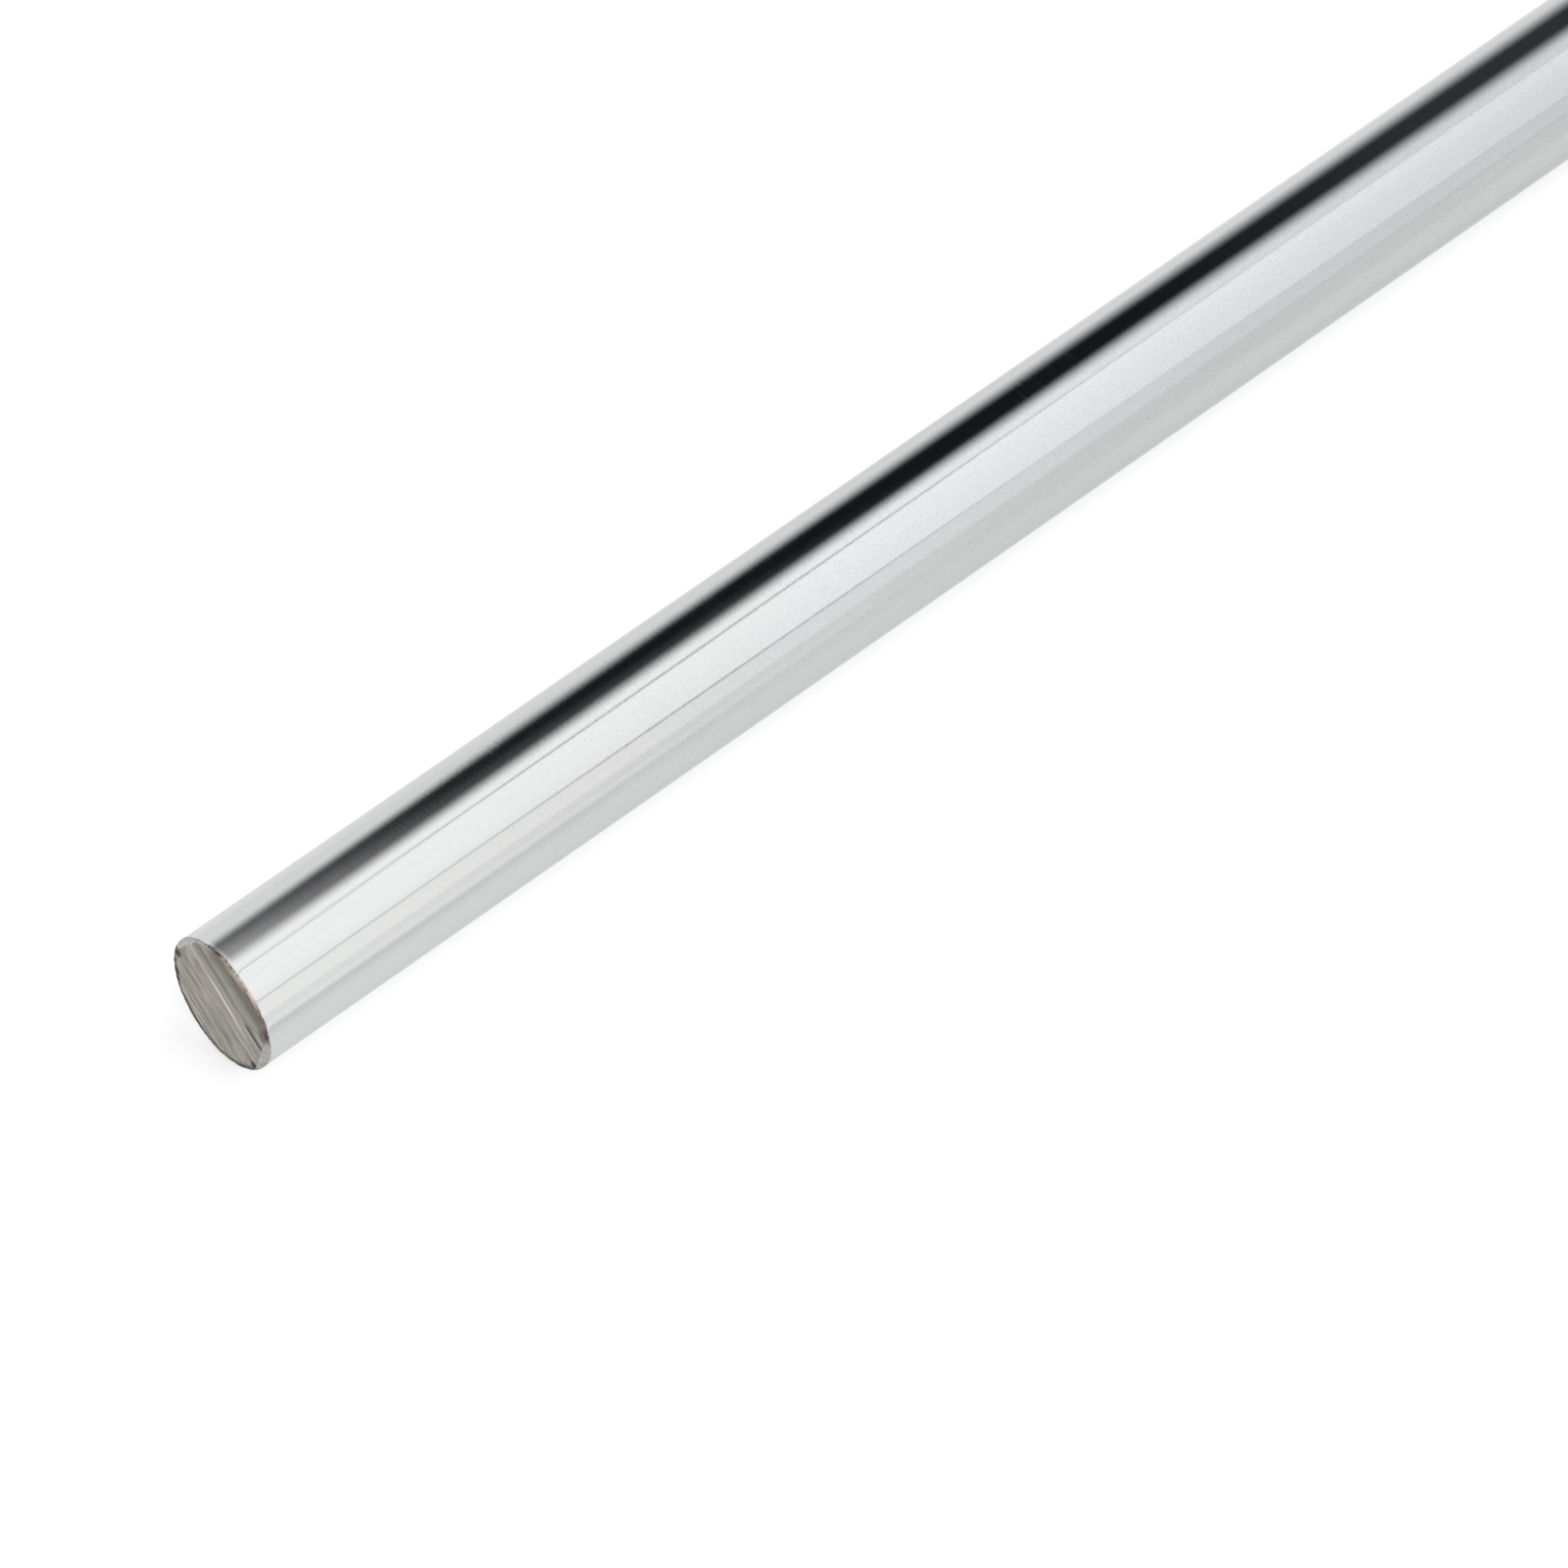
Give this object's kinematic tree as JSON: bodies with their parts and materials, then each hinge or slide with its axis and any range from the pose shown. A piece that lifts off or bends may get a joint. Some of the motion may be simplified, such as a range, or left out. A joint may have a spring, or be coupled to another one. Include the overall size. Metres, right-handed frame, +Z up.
{
  "type": "round metal bar",
  "caption": "Straight round bar of ground and chromed steel, with square-sawn ends and bevelled rims, for use as a guide rod, shaft, rail or turning stock.",
  "frame": {"origin": "on the line where the bar touches the floor, halfway along its length", "axes": "+X along the bar from one sawn end to the other, +Z up from the floor, +Y across the bar"},
  "size_m": [0.3, 0.012, 0.012],
  "materials": {
    "chromed_steel": "polished"
  },
  "bodies": {
    "root": {"round_bar": "chromed_steel"}
  },
  "joints": []
}
